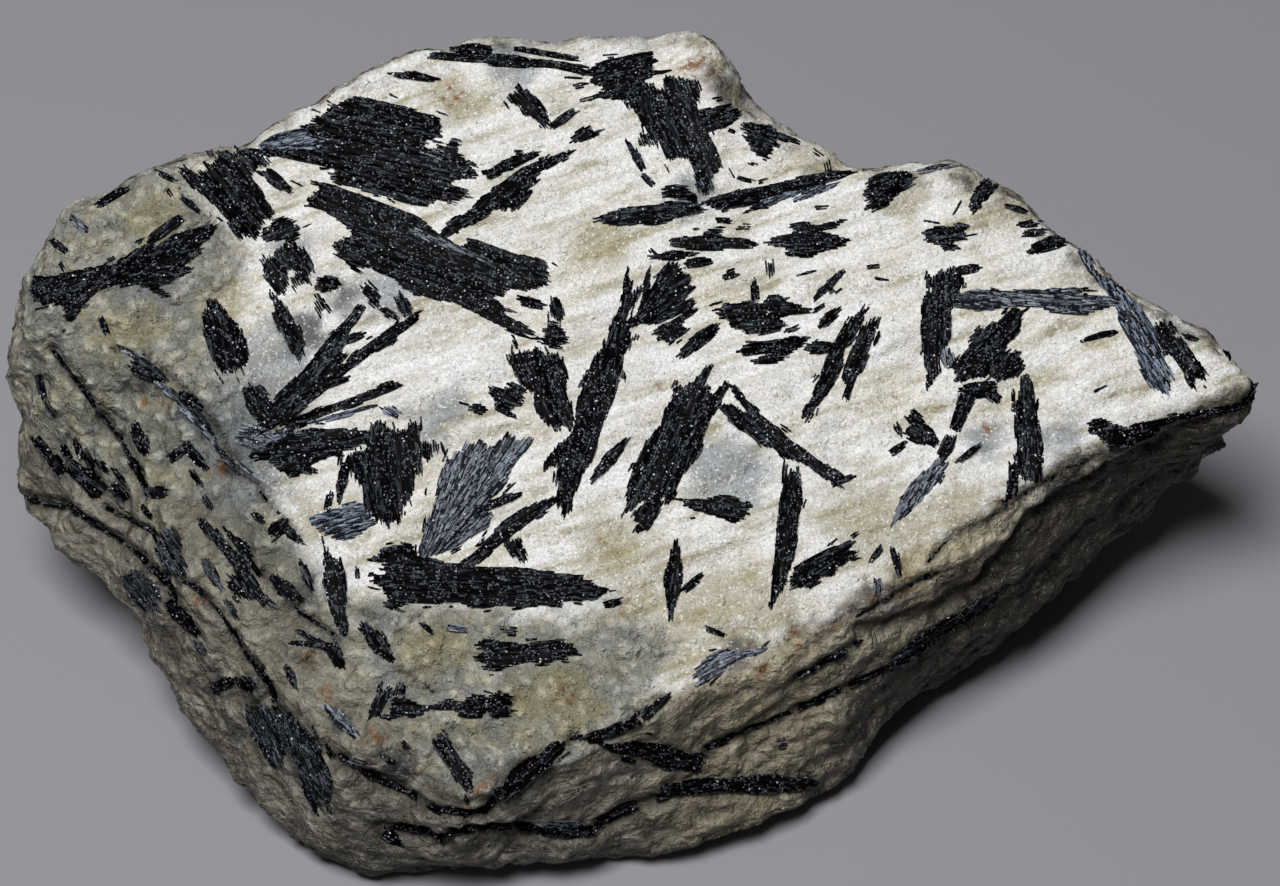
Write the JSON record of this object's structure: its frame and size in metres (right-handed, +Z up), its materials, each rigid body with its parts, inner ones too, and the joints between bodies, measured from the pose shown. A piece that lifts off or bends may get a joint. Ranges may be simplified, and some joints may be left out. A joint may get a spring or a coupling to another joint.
{
  "type": "glaucophane mineral specimen",
  "caption": "Rough wedge of pale sugary albite and quartz rock with black bladed glaucophane crystals set in it, with a flat base to rest on.",
  "frame": {"origin": "under the middle of the specimen: centre of its bounding box in X and Y, on the plane of its flat sole", "axes": "+Z up, +X along the length towards the pointed end, the broken top face slopes down towards -Y"},
  "size_m": [0.1098, 0.072, 0.0373],
  "materials": {
    "host_rock": "sugary broken albite and quartz rock, cream white with grey, olive and rusty zones",
    "glaucophane": "black fibrous crystal blades with a blue-grey silky sheen"
  },
  "bodies": {
    "root": {"host_rock": "host_rock", "glaucophane_back_fan": "glaucophane", "glaucophane_back_lath": "glaucophane", "glaucophane_back_left": "glaucophane", "glaucophane_back_right": "glaucophane", "glaucophane_blade_front": "glaucophane", "glaucophane_blade_left": "glaucophane", "glaucophane_blade_long": "glaucophane", "glaucophane_blade_low_right": "glaucophane", "glaucophane_blades_right": "glaucophane", "glaucophane_blades_upper": "glaucophane", "glaucophane_block_front": "glaucophane", "glaucophane_block_middle": "glaucophane", "glaucophane_block_rim": "glaucophane", "glaucophane_block_tip": "glaucophane", "glaucophane_cluster_left": "glaucophane", "glaucophane_curl_low": "glaucophane", "glaucophane_elbow_right": "glaucophane", "glaucophane_fan_grey": "glaucophane", "glaucophane_fan_left": "glaucophane", "glaucophane_fan_middle": "glaucophane", "glaucophane_fan_right": "glaucophane", "glaucophane_fan_thin": "glaucophane", "glaucophane_fan_upper_left": "glaucophane", "glaucophane_fishtail_left": "glaucophane", "glaucophane_lath_black": "glaucophane", "glaucophane_lath_centre": "glaucophane", "glaucophane_lath_great": "glaucophane", "glaucophane_lath_low": "glaucophane", "glaucophane_lath_rim": "glaucophane", "glaucophane_leaf_right": "glaucophane", "glaucophane_lens_centre": "glaucophane", "glaucophane_lens_edge": "glaucophane", "glaucophane_lens_low": "glaucophane", "glaucophane_lens_right": "glaucophane", "glaucophane_lens_small": "glaucophane", "glaucophane_lens_upper": "glaucophane", "glaucophane_lump_middle": "glaucophane", "glaucophane_lump_top": "glaucophane", "glaucophane_lump_upper": "glaucophane", "glaucophane_needle_right": "glaucophane", "glaucophane_oval_left": "glaucophane", "glaucophane_patch_front": "glaucophane", "glaucophane_patch_right": "glaucophane", "glaucophane_patch_top": "glaucophane", "glaucophane_petal_left": "glaucophane", "glaucophane_post_right": "glaucophane", "glaucophane_sheaf_blue": "glaucophane", "glaucophane_shoulder_far": "glaucophane", "glaucophane_shoulder_left": "glaucophane", "glaucophane_splinter_low": "glaucophane", "glaucophane_spray_right": "glaucophane", "glaucophane_spray_upper": "glaucophane", "glaucophane_star_middle": "glaucophane", "glaucophane_thorn_centre": "glaucophane", "glaucophane_wall_far": "glaucophane", "glaucophane_wall_left": "glaucophane", "glaucophane_wall_right": "glaucophane"}
  },
  "joints": []
}
